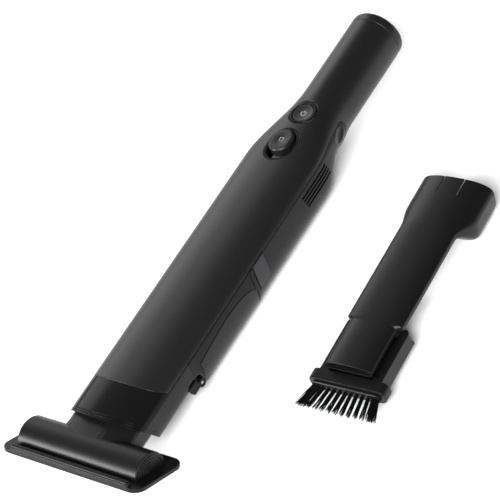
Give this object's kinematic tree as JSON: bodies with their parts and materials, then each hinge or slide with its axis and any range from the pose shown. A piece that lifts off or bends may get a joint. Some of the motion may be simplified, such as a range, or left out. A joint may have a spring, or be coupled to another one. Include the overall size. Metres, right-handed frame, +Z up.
{
  "type": "handheld vacuum",
  "caption": "Slim cordless hand vacuum with swing-down nose, lift-out dust cup, power button, eject slider, a wide pet-hair tool and a separate duster crevice tool.",
  "frame": {"origin": "middle of the flat belly that the vacuum lies on", "axes": "+Y along the handle, from the nose to the end cap; +Z up, from the belly to the top cover; +X to the vacuum's right"},
  "size_m": [0.2276, 0.4389, 0.0576],
  "materials": {
    "satin_black": "satin charcoal black",
    "gloss_black": "glossy black",
    "smoked_cup": "dark smoked, polished",
    "tool_black": "fine grained black",
    "silver_plate": "satin silver grey",
    "steel": "plain steel",
    "motor_steel": "zinc plated",
    "inner_plastic": "moulded dark grey",
    "seal_rubber": "soft matte",
    "filter_felt": "white pleated felt",
    "foam": "open foam",
    "battery": "blue sleeve",
    "board": "solder mask",
    "lint_fabric": "directional lint pile",
    "bristle": "black nylon"
  },
  "bodies": {
    "main": {"upper_shell": "satin_black", "lower_shell": "gloss_black", "end_cap": "satin_black", "case_screw_1": "steel", "case_screw_2": "steel", "case_screw_3": "steel", "case_screw_4": "steel", "fan_shroud": "inner_plastic", "motor_can": "motor_steel", "motor_mount": "seal_rubber", "shroud_saddle": "inner_plastic", "motor_saddle": "inner_plastic", "exhaust_foam_left": "foam", "exhaust_foam_right": "foam", "battery_cell_1": "battery", "battery_cell_2": "battery", "battery_cell_3": "battery", "battery_carrier": "inner_plastic", "charging_jack": "gloss_black", "control_board": "board", "tact_switch": "gloss_black", "power_button_ring": "gloss_black", "slider_bezel": "gloss_black", "return_spring": "steel"},
    "rotor": {"impeller": "inner_plastic", "motor_shaft": "steel"},
    "power_button": {"power_button": "satin_black"},
    "slider": {"eject_slider": "gloss_black", "release_rod": "inner_plastic"},
    "cup_button_left": {"cup_button_left": "silver_plate"},
    "cup_button_right": {"cup_button_right": "silver_plate"},
    "cup": {"dust_cup": "smoked_cup", "door_seal": "seal_rubber", "filter_frame": "inner_plastic", "mesh_screen": "steel", "pleated_filter": "filter_felt", "hinge_pin_left": "steel", "hinge_pin_right": "steel"},
    "nose": {"nozzle_door": "gloss_black"},
    "flap": {"inlet_flap": "seal_rubber"},
    "pet_tool": {"pet_tool_body": "tool_black", "pet_tool_sole": "tool_black", "lint_strip_front": "lint_fabric", "lint_strip_back": "lint_fabric"},
    "crevice_tool": {"crevice_tube": "tool_black"},
    "brush": {"brush_carriage": "tool_black", "bristle_strip": "bristle"}
  },
  "joints": [
    {"name": "rotor_spin", "type": "hinge", "parent": "main", "child": "rotor", "pos_m": [0, 0, 0.02718], "axis": [0, 1, 0], "continuous": true},
    {"name": "power_button_press", "type": "slide", "parent": "main", "child": "power_button", "axis": [0, 0, -1], "range_m": [0, 0.0008], "stiffness_N_per_m": 1500},
    {"name": "eject_slider_push", "type": "slide", "parent": "main", "child": "slider", "axis": [0, -1, 0], "range_m": [0, 0.0035], "stiffness_N_per_m": 400},
    {"name": "cup_button_left_press", "type": "slide", "parent": "main", "child": "cup_button_left", "axis": [1, 0, 0], "range_m": [0, 0.0015], "stiffness_N_per_m": 1500},
    {"name": "cup_button_right_press", "type": "slide", "parent": "main", "child": "cup_button_right", "axis": [-1, 0, 0], "range_m": [0, 0.0015], "stiffness_N_per_m": 1500},
    {"name": "dust_cup_slide", "type": "slide", "parent": "main", "child": "cup", "axis": [0, -1, 0], "range_m": [0, 0.16]},
    {"name": "nose_door_hinge", "type": "hinge", "parent": "cup", "child": "nose", "pos_m": [0, -0.09905, 0.016], "axis": [1, 0, 0], "range_deg": [0, 80]},
    {"name": "inlet_flap_swing", "type": "hinge", "parent": "nose", "child": "flap", "pos_m": [0, -0.10995, 0.04128], "axis": [1, 0, 0], "range_deg": [0, 55]},
    {"name": "pet_tool_pull", "type": "slide", "parent": "nose", "child": "pet_tool", "axis": [0, -1, 0], "range_m": [0, 0.04]},
    {"name": "crevice_tool_lift", "type": "slide", "parent": "main", "child": "crevice_tool", "axis": [0, 0, 1], "range_m": [0, 0.1]},
    {"name": "brush_carriage_slide", "type": "slide", "parent": "crevice_tool", "child": "brush", "axis": [-0.0314, 0.9995, 0], "range_m": [0, 0.048]}
  ]
}
